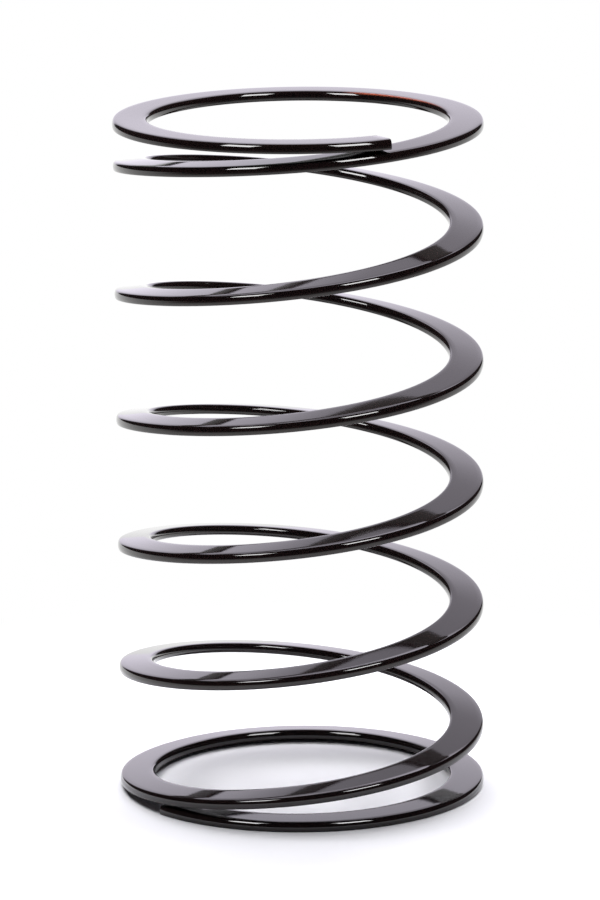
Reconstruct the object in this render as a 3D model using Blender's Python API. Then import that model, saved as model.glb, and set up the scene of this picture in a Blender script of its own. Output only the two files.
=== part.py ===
"""Helper spring: one flat steel wire, wound to the right, with a closed turn at each end.

The spring stands on the XY plane with its axis on Z and its first tip at the bottom.
Positions along the wire are angles in radians, counted from the first tip, and the
wire climbs as they grow. Azimuths are counted from the front (-Y) towards +X.
"""

import math

import bmesh
import bpy
from mathutils import Matrix, Vector

MM = 0.001
FULL_TURN = 2.0 * math.pi

# Wire section
WIRE_WIDTH = 7.5 * MM
WIRE_THICKNESS = 2.05 * MM
CORNER_RADIUS = 0.35 * MM
EDGE_CROWN = 0.1 * MM
TIP_CHAMFER = 0.2 * MM

# Coil
INNER_DIAMETER = 63.5 * MM
TURNS = 7.222
FIRST_TIP_AZIMUTH = math.radians(-50.5)

# Climb: the pitch opens a little from the bottom to the top, as the wire was wound
LOW_PITCH = 25.7 * MM
HIGH_PITCH = 28.6 * MM
LOW_RAMP = math.radians(116.0)
HIGH_RAMP = math.radians(275.0)

# Twist of the wire about its own length in the open turns: the inner edge stands higher
SECTION_TILT = math.radians(4.8)

# Room between each tip and the strand that passes it one turn on
TIP_CLEARANCE = 0.3 * MM

# Fineness of the facets
STEPS_PER_TURN = 48
CORNER_SEGMENTS = 2
SMOOTH_ANGLE = math.radians(35.0)
LIFT_PASSES = 8

# Finish: black gloss powder coat
COAT_COLOUR = (0.005, 0.0045, 0.005, 1.0)
COAT_ROUGHNESS = 0.12


def open_pitch(position):
    """Pitch that the free wire has at a position, before the ends are closed down."""
    share = position / (TURNS * FULL_TURN)
    return LOW_PITCH + (HIGH_PITCH - LOW_PITCH) * share


def lift_arc(ramp, pitch):
    """Arc before a full turn over which the strand must climb to clear the wire's tip.

    The pitch grows evenly from nothing over the ramp, so the climb is quadratic on
    the ramp and straight after it. The tilted strand needs a little more climb, which
    itself depends on the arc, so a few passes settle the two.
    """
    arc = ramp
    for _ in range(LIFT_PASSES):
        tilt = SECTION_TILT * min(arc / ramp, 1.0)
        climb = WIRE_THICKNESS + TIP_CLEARANCE + WIRE_WIDTH / 2.0 * math.sin(tilt)
        arc = math.sqrt(2.0 * FULL_TURN * climb * ramp / pitch)
        if arc > ramp:
            arc = FULL_TURN * climb / pitch + ramp / 2.0
    return arc


def fade(distance, closed_arc, ramp):
    """Share of the open pitch at a distance from a tip: 0 where closed, 1 past the ramp."""
    return min(max((distance - closed_arc) / ramp, 0.0), 1.0)


def closed_arcs():
    """Arcs at the bottom and at the top over which the end turns lie flat."""
    low = FULL_TURN - lift_arc(LOW_RAMP, open_pitch(FULL_TURN))
    high = FULL_TURN - lift_arc(HIGH_RAMP, open_pitch((TURNS - 1.0) * FULL_TURN))
    return low, high


def opening(position):
    """How far the coil is open at a position: 0 in the closed end turns, 1 between them."""
    low_arc, high_arc = closed_arcs()
    from_bottom = fade(position, low_arc, LOW_RAMP)
    from_top = fade(TURNS * FULL_TURN - position, high_arc, HIGH_RAMP)
    return from_bottom * from_top


def add_wire_section(mesh):
    """Section of the wire, upright at the first tip: crowned edges and rounded corners."""
    inner = INNER_DIAMETER / 2.0
    outer = inner + WIRE_WIDTH
    outline = (
        (inner + EDGE_CROWN, 0.0),
        (outer - EDGE_CROWN, 0.0),
        (outer, WIRE_THICKNESS / 2.0),
        (outer - EDGE_CROWN, WIRE_THICKNESS),
        (inner + EDGE_CROWN, WIRE_THICKNESS),
        (inner, WIRE_THICKNESS / 2.0),
    )
    points = [mesh.verts.new((0.0, -radius, height)) for radius, height in outline]
    mesh.faces.new(points)
    corners = [points[0], points[1], points[3], points[4]]
    radius = min(CORNER_RADIUS, 0.4 * WIRE_THICKNESS)
    bmesh.ops.bevel(mesh, geom=corners, offset=radius, segments=CORNER_SEGMENTS,
                    profile=0.5, affect="VERTICES", material=-1)
    turn_to_tip = Matrix.Rotation(FIRST_TIP_AZIMUTH, 3, "Z")
    bmesh.ops.rotate(mesh, verts=mesh.verts, matrix=turn_to_tip)
    return mesh.faces[:]


def tilt_end(mesh, end, azimuth, height, angle):
    """Turn the newest section of the wire about its own middle, inner edge up."""
    outward = Vector((math.sin(azimuth), -math.cos(azimuth), 0.0))
    along = Vector((math.cos(azimuth), math.sin(azimuth), 0.0))
    middle = outward * (INNER_DIAMETER + WIRE_WIDTH) / 2.0
    middle.z = height
    verts = [item for item in end if isinstance(item, bmesh.types.BMVert)]
    bmesh.ops.rotate(mesh, verts=verts, cent=middle, matrix=Matrix.Rotation(angle, 3, along))


def sweep_coil(mesh, section):
    """Spin the section up the coil, one step at a time, each with its own climb and tilt."""
    steps = round(TURNS * STEPS_PER_TURN)
    step = TURNS * FULL_TURN / steps
    end = section + section[0].edges[:] + section[0].verts[:]
    height = WIRE_THICKNESS / 2.0
    for index in range(steps):
        position = (index + 0.5) * step
        climb = open_pitch(position) * opening(position) * step / FULL_TURN
        spun = bmesh.ops.spin(mesh, geom=end, cent=(0.0, 0.0, 0.0), axis=(0.0, 0.0, 1.0),
                              angle=step, dvec=(0.0, 0.0, climb), steps=1)
        end = spun["geom_last"]
        height += climb
        start, finish = index * step, (index + 1) * step
        more_tilt = SECTION_TILT * (opening(finish) - opening(start))
        tilt_end(mesh, end, FIRST_TIP_AZIMUTH + finish, height, more_tilt)


def chamfer_tips(mesh):
    """Break the sharp rim of the two square-cut ends."""
    rims = [edge for face in mesh.faces if len(face.verts) > 4 for edge in face.edges]
    bmesh.ops.bevel(mesh, geom=rims, offset=TIP_CHAMFER, segments=1, profile=0.5,
                    affect="EDGES", material=-1)


def coat_material():
    """Black gloss powder coat."""
    material = bpy.data.materials.new("black_powder_coat")
    material.use_nodes = True
    shader = material.node_tree.nodes["Principled BSDF"]
    shader.inputs["Base Color"].default_value = COAT_COLOUR
    shader.inputs["Roughness"].default_value = COAT_ROUGHNESS
    shader.inputs["Metallic"].default_value = 0.0
    return material


def make_helper_spring():
    """The whole spring, as one closed solid."""
    mesh = bmesh.new()
    sweep_coil(mesh, add_wire_section(mesh))
    chamfer_tips(mesh)
    bmesh.ops.recalc_face_normals(mesh, faces=mesh.faces)
    data = bpy.data.meshes.new("helper_spring")
    mesh.to_mesh(data)
    mesh.free()
    data.shade_smooth()
    data.set_sharp_from_angle(angle=SMOOTH_ANGLE)
    data.materials.append(coat_material())
    spring = bpy.data.objects.new("helper_spring", data)
    bpy.context.scene.collection.objects.link(spring)
    return spring


def clear_scene():
    """Start from an empty scene."""
    for old in list(bpy.data.objects):
        bpy.data.objects.remove(old, do_unlink=True)


clear_scene()
make_helper_spring()
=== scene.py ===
"""Helper spring: a flat-wire coil in black gloss powder coat, on a plain white studio floor.

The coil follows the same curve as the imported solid. Positions along the wire are angles
in radians, counted from the first tip at the bottom, and azimuths are counted from the
front (-Y) towards +X. Lengths are in metres.
"""

import math

import bmesh
import bpy
from mathutils import Matrix, Vector


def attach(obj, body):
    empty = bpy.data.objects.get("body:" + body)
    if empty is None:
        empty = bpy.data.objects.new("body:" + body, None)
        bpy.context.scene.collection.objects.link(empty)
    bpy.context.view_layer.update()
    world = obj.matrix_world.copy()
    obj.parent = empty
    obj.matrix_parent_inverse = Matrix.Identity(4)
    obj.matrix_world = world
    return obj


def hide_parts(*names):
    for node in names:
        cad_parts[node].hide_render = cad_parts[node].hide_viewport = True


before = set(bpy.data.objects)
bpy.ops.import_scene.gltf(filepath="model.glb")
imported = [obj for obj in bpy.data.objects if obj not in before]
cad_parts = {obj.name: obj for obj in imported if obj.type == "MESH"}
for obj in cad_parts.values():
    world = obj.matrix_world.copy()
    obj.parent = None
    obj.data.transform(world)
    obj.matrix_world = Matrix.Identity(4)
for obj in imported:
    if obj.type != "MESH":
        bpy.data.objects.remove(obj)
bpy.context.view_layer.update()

MM = 0.001
FULL_TURN = 2.0 * math.pi

# Wire section, slightly inside the solid's
WIRE_WIDTH = 7.5 * MM
WIRE_THICKNESS = 2.05 * MM
INNER_EDGE_THICKNESS = 2.16 * MM
COAT_INSET = 0.01 * MM
CORNER_RADIUS = 0.2 * MM

# Rounding along each border of the top face
CROWN_WIDTH = 1.2 * MM
CROWN_DROP = 0.08 * MM

# Rounded sides of the wire: radius, and height at which each stands out most
OUTER_ROUND = 2.2 * MM
OUTER_BULGE = 0.7 * MM
INNER_ROUND = 2.0 * MM
INNER_BULGE = 0.85 * MM

# Coil
INNER_DIAMETER = 63.5 * MM
TURNS = 7.222
FIRST_TIP_AZIMUTH = math.radians(-50.5)
LOW_PITCH = 25.7 * MM
HIGH_PITCH = 28.6 * MM
LOW_RAMP = math.radians(116.0)
HIGH_RAMP = math.radians(275.0)
TIP_CLEARANCE = 0.3 * MM
LIFT_PASSES = 8

# Tilt of the wire, inner edge up: the solid's, and the dressed coil's, which sets in sooner
SECTION_TILT = math.radians(4.8)
FACE_TILT = math.radians(5.9)
DISH_RAMP = math.radians(220.0)

# Top tip, twisted and flared a little by the cut, and the rounding of both tips
TIP_TWIST = math.radians(1.2)
TIP_FLARE = 0.12
TIP_TWIST_ARC = math.radians(12.5)
TIP_ROUNDING = 0.14 * MM

# Unevenness of this one coil: place and reach along the wire in degrees, depth below the even climb
SAGS = (
    (735.0, 60.0, 0.52 * MM),
    (1420.0, 45.0, -0.35 * MM),
    (1590.0, 85.0, 0.85 * MM),
    (2120.0, 60.0, 0.35 * MM),
    (2480.0, 60.0, 0.38 * MM),
)

# Fineness of the mesh
STEPS_PER_TURN = 120
EDGE_FACETS = 6
CROWN_FACETS = 4
CORNER_SEGMENTS = 4
TIP_SEGMENTS = 3
SMOOTH_ANGLE = math.radians(40.0)
QUAD_CORNERS = 4

# Coat: gloss black with a fine orange peel
COAT_COLOUR = (0.008, 0.0035, 0.0035, 1.0)
COAT_ROUGHNESS = 0.06
COAT_IOR = 1.5
PEEL_SCALE = 1400.0
PEEL_DETAIL = 1.0
PEEL_STRENGTH = 0.1
PEEL_DEPTH = 0.02 * MM

# Painted orange reflection: a thin line on the top turn's inner rim, faded in by height, radius, X and
# Y
ORANGE_REFLECTION_COLOUR = (0.38, 0.09, 0.05, 1.0)
ORANGE_REFLECTION_HEIGHTS = (145.3 * MM, 145.7 * MM)
ORANGE_REFLECTION_REACHES = (32.1 * MM, 32.6 * MM)
ORANGE_REFLECTION_ACROSS = (9.0 * MM, 15.0 * MM)
ORANGE_REFLECTION_ALONG = (4.0 * MM, 10.0 * MM)

# Sweep behind the spring: brightness at angles above the floor in degrees, and its two borders
SWEEP_COLOUR = (3.0, 2.85, 3.24, 1.0)
SWEEP_LEVELS = ((0.0, 0.45), (12.0, 0.44), (22.0, 0.42), (28.0, 0.29),
                (35.0, 0.29), (40.0, 1.0), (50.0, 1.0), (54.0, 0.01))
SWEEP_SIDES = (0.3, 0.45)
SWEEP_START = (-0.05, 0.05)
ROOM_COLOUR = (0.035, 0.035, 0.037, 1.0)
WHITE = (1.0, 1.0, 1.0, 1.0)

# Floor: pale paper near the spring, fading to plain white further out
FLOOR_SIZE = 10.0
FLOOR_COLOUR = (0.92, 0.92, 0.96, 1.0)
FLOOR_FADE = (0.06, 0.16)

# Floor as the coat reflects it: bright behind the spring, dark in front of it and far out
BRIGHT_FLOOR_LEVEL = 1.33
DARK_FLOOR_LEVEL = 0.1
DARK_FLOOR_REACH = (0.06, 0.65)
DARK_FLOOR_FACING = (-0.6, 0.5)

# Lamps: angles in degrees, and power in watts for each square metre and unit of brightness
LAMP_DISTANCE = 1.2
LAMP_AIM_HEIGHT = 0.073
LAMP_POWER = 4.0
LEFT_LAMP = {"azimuth": -40.7, "elevation": 40.0, "width": 0.37, "height": 0.42, "brightness": 15.0}
RIGHT_LAMP = {"azimuth": 36.3, "elevation": 40.0, "width": 0.41, "height": 0.42, "brightness": 15.0}
OVERHEAD_LAMP = {"azimuth": 180.0, "elevation": 72.0, "width": 1.5, "height": 1.3, "brightness": 4.8}

# Camera: angles in radians, lens and sensor in millimetres
CAMERA_PLACE = (0.0, -1.17335, 0.33246)
CAMERA_PITCH = 0.217306
CAMERA_ROLL = -0.0064547
CAMERA_LENS = 225.28
SENSOR_WIDTH = 36.0


def open_pitch(position):
    """Pitch that the free wire has at a position, before the ends are closed down."""
    share = position / (TURNS * FULL_TURN)
    return LOW_PITCH + (HIGH_PITCH - LOW_PITCH) * share


def lift_arc(ramp, pitch):
    """Arc before a full turn over which the strand must climb to clear the wire's tip."""
    arc = ramp
    for _ in range(LIFT_PASSES):
        tilt = SECTION_TILT * min(arc / ramp, 1.0)
        climb = WIRE_THICKNESS + TIP_CLEARANCE + WIRE_WIDTH / 2.0 * math.sin(tilt)
        arc = math.sqrt(2.0 * FULL_TURN * climb * ramp / pitch)
        if arc > ramp:
            arc = FULL_TURN * climb / pitch + ramp / 2.0
    return arc


HALF_KEYSTONE = math.atan((INNER_EDGE_THICKNESS - WIRE_THICKNESS) / 2.0 / WIRE_WIDTH)
LOW_CLOSED_ARC = FULL_TURN - lift_arc(LOW_RAMP, open_pitch(FULL_TURN))
HIGH_CLOSED_ARC = FULL_TURN - lift_arc(HIGH_RAMP, open_pitch((TURNS - 1.0) * FULL_TURN))


def fade(distance, closed_arc, ramp):
    """Share of the open pitch at a distance from a tip: 0 where closed, 1 past the ramp."""
    return min(max((distance - closed_arc) / ramp, 0.0), 1.0)


def opening(position):
    """How far the coil is open at a position: 0 in the closed end turns, 1 between them."""
    from_bottom = fade(position, LOW_CLOSED_ARC, LOW_RAMP)
    from_top = fade(TURNS * FULL_TURN - position, HIGH_CLOSED_ARC, HIGH_RAMP)
    return from_bottom * from_top


def tilt_at(position):
    """Tilt of the wire, inner edge up: it grows from the bottom tip and ends before the top one."""
    from_bottom = fade(position, 0.0, DISH_RAMP)
    from_top = fade(TURNS * FULL_TURN - position, HIGH_CLOSED_ARC, HIGH_RAMP)
    lower = HALF_KEYSTONE + (FACE_TILT - HALF_KEYSTONE) * from_bottom
    return lower * from_top - HALF_KEYSTONE * (1.0 - from_top)


def dish_lift(position):
    """Rise of the wire's middle that keeps its outer edge where the plain curve has it."""
    plain_tilt = SECTION_TILT * opening(position)
    return WIRE_WIDTH / 2.0 * (math.sin(tilt_at(position)) - math.sin(plain_tilt))


def sag_at(position):
    """How far the coil hangs below its even climb at a position."""
    angle = math.degrees(position)
    return sum(depth * math.exp(-((angle - place) / reach) ** 2) for place, reach, depth in SAGS)


def tip_share(position):
    """How far the top tip is twisted at a position: 0 before its last stretch, 1 at its end."""
    distance = TURNS * FULL_TURN - position
    return max(1.0 - distance / TIP_TWIST_ARC, 0.0) ** 2


def rounded_side(radius, bulge, thickness):
    """Heights up a rounded side of the wire, and how far it is set back at each."""
    heights = [thickness * index / EDGE_FACETS for index in range(EDGE_FACETS + 1)]
    return [(height, radius - math.sqrt(radius ** 2 - (height - bulge) ** 2)) for height in heights]


def face_height(radius):
    """Height of the top face at a radius, before its borders fall away."""
    across = (radius - INNER_DIAMETER / 2.0) / WIRE_WIDTH
    return INNER_EDGE_THICKNESS + (WIRE_THICKNESS - INNER_EDGE_THICKNESS) * across


def crowned_border(start, inward):
    """Border of the top face, from its corner inwards, as pairs of radius and height."""
    shares = [index / CROWN_FACETS for index in range(CROWN_FACETS + 1)]
    radii = [start + inward * share * CROWN_WIDTH for share in shares]
    return [(radius, face_height(radius) - CROWN_DROP * (1.0 - share) ** 2)
            for radius, share in zip(radii, shares)]


def add_wire_section(mesh):
    """Section of the wire, upright at the first tip: rounded sides and a crowned top face."""
    inner = INNER_DIAMETER / 2.0 + COAT_INSET
    outer = INNER_DIAMETER / 2.0 + WIRE_WIDTH - COAT_INSET
    outer_side = [(outer - back, height)
                  for height, back in rounded_side(OUTER_ROUND, OUTER_BULGE, WIRE_THICKNESS)]
    inner_side = [(inner + back, height)
                  for height, back in rounded_side(INNER_ROUND, INNER_BULGE, INNER_EDGE_THICKNESS)]
    outer_border = crowned_border(outer_side[-1][0], -1.0)
    inner_border = crowned_border(inner_side[-1][0], 1.0)
    outline = outer_side[:-1] + outer_border + inner_border[::-1] + inner_side[-2::-1]
    points = [mesh.verts.new((0.0, -radius, height)) for radius, height in outline]
    mesh.faces.new(points)
    top_inner_corner = EDGE_FACETS + 2 * CROWN_FACETS + 1
    corners = [points[0], points[EDGE_FACETS], points[top_inner_corner], points[-1]]
    bmesh.ops.bevel(mesh, geom=corners, offset=CORNER_RADIUS, segments=CORNER_SEGMENTS,
                    profile=0.5, affect="VERTICES", material=-1)
    turn_to_tip = Matrix.Rotation(FIRST_TIP_AZIMUTH, 3, "Z")
    bmesh.ops.rotate(mesh, verts=mesh.verts, matrix=turn_to_tip)
    return mesh.faces[:]


def tilt_end(mesh, end, azimuth, height, angle, growth):
    """Turn the newest section of the wire about its own middle, inner edge up, and thicken it."""
    outward = Vector((math.sin(azimuth), -math.cos(azimuth), 0.0))
    along = Vector((math.cos(azimuth), math.sin(azimuth), 0.0))
    middle = outward * (INNER_DIAMETER + WIRE_WIDTH) / 2.0
    middle.z = height
    verts = [item for item in end if isinstance(item, bmesh.types.BMVert)]
    bmesh.ops.rotate(mesh, verts=verts, cent=middle, matrix=Matrix.Rotation(angle, 3, along))
    bmesh.ops.scale(mesh, verts=verts, vec=(1.0, 1.0, growth), space=Matrix.Translation(-middle))


def sweep_coil(mesh, section):
    """Spin the section up the coil, one step at a time, each with its own climb and tilt."""
    steps = round(TURNS * STEPS_PER_TURN)
    step = TURNS * FULL_TURN / steps
    end = section + section[0].edges[:] + section[0].verts[:]
    mean_thickness = (WIRE_THICKNESS + INNER_EDGE_THICKNESS) / 2.0
    height = mean_thickness / 2.0
    for index in range(steps):
        start = index * step
        finish = (index + 1) * step
        middle = (start + finish) / 2.0
        climb = open_pitch(middle) * opening(middle) * step / FULL_TURN
        climb += dish_lift(finish) - dish_lift(start)
        climb -= sag_at(finish) - sag_at(start)
        spun = bmesh.ops.spin(mesh, geom=end, cent=(0.0, 0.0, 0.0), axis=(0.0, 0.0, 1.0),
                              angle=step, dvec=(0.0, 0.0, climb), steps=1)
        end = spun["geom_last"]
        height += climb
        more_twist = TIP_TWIST * (tip_share(finish) - tip_share(start))
        more_tilt = tilt_at(finish) - tilt_at(start) - more_twist
        growth = (1.0 + TIP_FLARE * tip_share(finish)) / (1.0 + TIP_FLARE * tip_share(start))
        tilt_end(mesh, end, FIRST_TIP_AZIMUTH + finish, height, more_tilt, growth)


def round_tips(mesh):
    """Soften the rims of the two square-cut ends, the only faces that aren't quads."""
    rims = [edge for face in mesh.faces if len(face.verts) > QUAD_CORNERS for edge in face.edges]
    bmesh.ops.bevel(mesh, geom=rims, offset=TIP_ROUNDING, segments=TIP_SEGMENTS,
                    profile=0.5, affect="EDGES", material=-1)


def add_object(name, data):
    """Put a new object with this mesh, lamp or camera into the scene."""
    item = bpy.data.objects.new(name, data)
    bpy.context.scene.collection.objects.link(item)
    return item


def link(tree, start, end):
    """Join two sockets of a node tree."""
    tree.links.new(start, end)


def split_axes(tree, vector):
    """X, Y and Z of a vector."""
    node = tree.nodes.new("ShaderNodeSeparateXYZ")
    link(tree, vector, node.inputs["Vector"])
    return node.outputs


def length_of(tree, vector):
    """Length of a vector."""
    node = tree.nodes.new("ShaderNodeVectorMath")
    node.operation = "LENGTH"
    link(tree, vector, node.inputs[0])
    return node.outputs["Value"]


def map_range(tree, value, from_low, from_high, to_low, to_high):
    """A smooth step of a value between two levels."""
    node = tree.nodes.new("ShaderNodeMapRange")
    node.interpolation_type = "SMOOTHSTEP"
    node.inputs["From Min"].default_value = from_low
    node.inputs["From Max"].default_value = from_high
    node.inputs["To Min"].default_value = to_low
    node.inputs["To Max"].default_value = to_high
    link(tree, value, node.inputs["Value"])
    return node.outputs["Result"]


def calculate(tree, operation, first, second):
    """One operation on two values, each a number or a socket."""
    node = tree.nodes.new("ShaderNodeMath")
    node.operation = operation
    for slot, value in zip(node.inputs, (first, second)):
        if isinstance(value, float):
            slot.default_value = value
        else:
            link(tree, value, slot)
    return node.outputs[0]


def mix_colours(tree, share, first, second):
    """Blend of two colours by a share."""
    mix = tree.nodes.new("ShaderNodeMix")
    mix.data_type = "RGBA"
    link(tree, share, mix.inputs["Factor"])
    colours = [socket for socket in mix.inputs if socket.type == "RGBA"]
    for socket, colour in zip(colours, (first, second)):
        socket.default_value = colour
    return next(socket for socket in mix.outputs if socket.type == "RGBA")


def mix_shaders(tree, share, first, second):
    """Blend of two shaders by a share."""
    mix = tree.nodes.new("ShaderNodeMixShader")
    link(tree, share, mix.inputs["Fac"])
    link(tree, first, mix.inputs[1])
    link(tree, second, mix.inputs[2])
    return mix.outputs[0]


def painted_orange_reflection(tree, place):
    """Share of the painted orange reflection along the inner rim of the top turn, at the back on the
    right.
    """
    axes = split_axes(tree, place)
    flatten = tree.nodes.new("ShaderNodeVectorMath")
    flatten.operation = "MULTIPLY"
    flatten.inputs[1].default_value = (1.0, 1.0, 0.0)
    link(tree, place, flatten.inputs[0])
    reach = length_of(tree, flatten.outputs["Vector"])
    high = map_range(tree, axes["Z"], *ORANGE_REFLECTION_HEIGHTS, 0.0, 1.0)
    rim = map_range(tree, reach, *ORANGE_REFLECTION_REACHES, 1.0, 0.0)
    right = map_range(tree, axes["X"], *ORANGE_REFLECTION_ACROSS, 0.0, 1.0)
    back = map_range(tree, axes["Y"], *ORANGE_REFLECTION_ALONG, 0.0, 1.0)
    share = calculate(tree, "MULTIPLY", high, rim)
    share = calculate(tree, "MULTIPLY", share, right)
    return calculate(tree, "MULTIPLY", share, back)


def orange_peel(tree, place):
    """Fine waviness of the sprayed coat."""
    peel = tree.nodes.new("ShaderNodeTexNoise")
    peel.inputs["Scale"].default_value = PEEL_SCALE
    peel.inputs["Detail"].default_value = PEEL_DETAIL
    bump = tree.nodes.new("ShaderNodeBump")
    bump.inputs["Strength"].default_value = PEEL_STRENGTH
    bump.inputs["Distance"].default_value = PEEL_DEPTH
    link(tree, place, peel.inputs["Vector"])
    link(tree, peel.outputs["Fac"], bump.inputs["Height"])
    return bump.outputs["Normal"]


def black_gloss_coat():
    """Gloss black powder coat with slight orange peel, and a painted orange reflection on one rim."""
    material = bpy.data.materials.new("black_gloss_powder_coat")
    material.use_nodes = True
    tree = material.node_tree
    shader = tree.nodes["Principled BSDF"]
    shader.inputs["Roughness"].default_value = COAT_ROUGHNESS
    shader.inputs["IOR"].default_value = COAT_IOR
    place = tree.nodes.new("ShaderNodeTexCoord").outputs["Object"]
    # Coat colour with the painted orange reflection mixed in along one rim
    colour = mix_colours(tree, painted_orange_reflection(tree, place), COAT_COLOUR, ORANGE_REFLECTION_COLOUR)
    link(tree, colour, shader.inputs["Base Color"])
    link(tree, orange_peel(tree, place), shader.inputs["Normal"])
    return material


def make_helper_spring():
    """The whole coil as one closed mesh."""
    mesh = bmesh.new()
    sweep_coil(mesh, add_wire_section(mesh))
    round_tips(mesh)
    bmesh.ops.recalc_face_normals(mesh, faces=mesh.faces)
    data = bpy.data.meshes.new("coated_coil")
    mesh.to_mesh(data)
    mesh.free()
    data.shade_smooth()
    data.set_sharp_from_angle(angle=SMOOTH_ANGLE)
    data.materials.append(black_gloss_coat())
    coil = add_object("coated_coil", data)
    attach(coil, "root")
    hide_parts("helper_spring")


def sweep_brightness(tree, height):
    """Brightness of the sweep at a height, the sine of the angle above the floor."""
    ramp = tree.nodes.new("ShaderNodeValToRGB")
    ramp.color_ramp.interpolation = "LINEAR"
    stops = ramp.color_ramp.elements
    for stop, (angle, level) in zip(stops, (SWEEP_LEVELS[0], SWEEP_LEVELS[-1])):
        stop.position = math.sin(math.radians(angle))
        stop.color = (level, level, level, 1.0)
    for angle, level in SWEEP_LEVELS[1:-1]:
        stop = stops.new(math.sin(math.radians(angle)))
        stop.color = (level, level, level, 1.0)
    link(tree, height, ramp.inputs["Fac"])
    return ramp.outputs["Color"]


def sweep_share(tree):
    """How much of the sweep's light comes from each direction, with none from the dark room."""
    place = tree.nodes.new("ShaderNodeTexCoord").outputs["Generated"]
    axes = split_axes(tree, place)
    behind = map_range(tree, axes["Y"], *SWEEP_START, 0.0, 1.0)
    aside = calculate(tree, "ABSOLUTE", axes["X"], 0.0)
    within = map_range(tree, aside, *SWEEP_SIDES, 1.0, 0.0)
    paper = calculate(tree, "MULTIPLY", sweep_brightness(tree, axes["Z"]), within)
    return calculate(tree, "MULTIPLY", behind, paper)


def white_sweep():
    """White paper sweep behind the spring, a dark room in front, and plain white for the eye."""
    world = bpy.data.worlds.new("white_sweep")
    bpy.context.scene.world = world
    world.use_nodes = True
    tree = world.node_tree
    tree.nodes.clear()
    studio = tree.nodes.new("ShaderNodeBackground")
    link(tree, mix_colours(tree, sweep_share(tree), ROOM_COLOUR, SWEEP_COLOUR), studio.inputs["Color"])
    white = tree.nodes.new("ShaderNodeBackground")
    white.inputs["Color"].default_value = WHITE
    rays = tree.nodes.new("ShaderNodeLightPath").outputs
    seen = mix_shaders(tree, rays["Is Camera Ray"], studio.outputs[0], white.outputs[0])
    output = tree.nodes.new("ShaderNodeOutputWorld")
    link(tree, seen, output.inputs["Surface"])


def white_floor_level(tree, place, reach, reflected):
    """Brightness of the white part of the floor: 1 for the eye, its own level in reflections."""
    facing = calculate(tree, "DIVIDE", split_axes(tree, place)["Y"], reach)
    front = map_range(tree, facing, *DARK_FLOOR_FACING, 1.0, 0.0)
    away = map_range(tree, reach, *DARK_FLOOR_REACH, 0.0, 1.0)
    dark = calculate(tree, "MULTIPLY", front, away)
    level = map_range(tree, dark, 0.0, 1.0, BRIGHT_FLOOR_LEVEL, DARK_FLOOR_LEVEL)
    more = calculate(tree, "SUBTRACT", level, 1.0)
    return calculate(tree, "ADD", calculate(tree, "MULTIPLY", reflected, more), 1.0)


def white_paper():
    """Pale paper that takes the spring's shadow, and plain white further out."""
    material = bpy.data.materials.new("white_paper")
    material.use_nodes = True
    tree = material.node_tree
    tree.nodes.clear()
    place = tree.nodes.new("ShaderNodeTexCoord").outputs["Object"]
    rays = tree.nodes.new("ShaderNodeLightPath").outputs
    reach = length_of(tree, place)
    far = map_range(tree, reach, *FLOOR_FADE, 0.0, 1.0)
    seen = calculate(tree, "MAXIMUM", rays["Is Camera Ray"], rays["Is Glossy Ray"])
    share = calculate(tree, "MULTIPLY", far, seen)
    paper = tree.nodes.new("ShaderNodeBsdfDiffuse")
    paper.inputs["Color"].default_value = FLOOR_COLOUR
    white = tree.nodes.new("ShaderNodeEmission")
    white.inputs["Color"].default_value = WHITE
    level = white_floor_level(tree, place, reach, rays["Is Glossy Ray"])
    link(tree, level, white.inputs["Strength"])
    output = tree.nodes.new("ShaderNodeOutputMaterial")
    link(tree, mix_shaders(tree, share, paper.outputs[0], white.outputs[0]), output.inputs["Surface"])
    return material


def paper_floor():
    """One wide sheet of paper under the spring."""
    mesh = bmesh.new()
    bmesh.ops.create_grid(mesh, x_segments=1, y_segments=1, size=FLOOR_SIZE / 2.0)
    data = bpy.data.meshes.new("paper_floor")
    mesh.to_mesh(data)
    mesh.free()
    data.materials.append(white_paper())
    add_object("paper_floor", data)


def softbox(name, azimuth, elevation, width, height, brightness):
    """A rectangular lamp that faces the middle of the spring."""
    data = bpy.data.lights.new(name, "AREA")
    data.shape = "RECTANGLE"
    data.size = width
    data.size_y = height
    data.energy = LAMP_POWER * brightness * width * height
    turn = math.radians(azimuth)
    rise = math.radians(elevation)
    level = Vector((math.sin(turn), -math.cos(turn), 0.0))
    away = level * math.cos(rise) + Vector((0.0, 0.0, math.sin(rise)))
    lamp = add_object(name, data)
    lamp.location = Vector((0.0, 0.0, LAMP_AIM_HEIGHT)) + away * LAMP_DISTANCE
    lamp.rotation_euler = away.to_track_quat("Z", "Y").to_euler()
    lamp.visible_camera = False
    return lamp


def light_spring():
    """Two lamps in front that show only as streaks in the coat, and one overhead that only lights."""
    softbox("front_left_softbox", **LEFT_LAMP).visible_diffuse = False
    softbox("front_right_softbox", **RIGHT_LAMP).visible_diffuse = False
    softbox("overhead_softbox", **OVERHEAD_LAMP).visible_glossy = False


def aim_camera():
    """The camera at the photograph's viewing angle."""
    data = bpy.data.cameras.new("camera")
    data.sensor_width = SENSOR_WIDTH
    data.lens = CAMERA_LENS
    camera = add_object("camera", data)
    view = Matrix.Rotation(math.pi / 2.0 - CAMERA_PITCH, 4, "X")
    roll = Matrix.Rotation(CAMERA_ROLL, 4, "Z")
    camera.matrix_world = Matrix.Translation(CAMERA_PLACE) @ view @ roll
    bpy.context.scene.camera = camera


make_helper_spring()
paper_floor()
white_sweep()
light_spring()
aim_camera()
bpy.context.scene.view_settings.view_transform = "Standard"
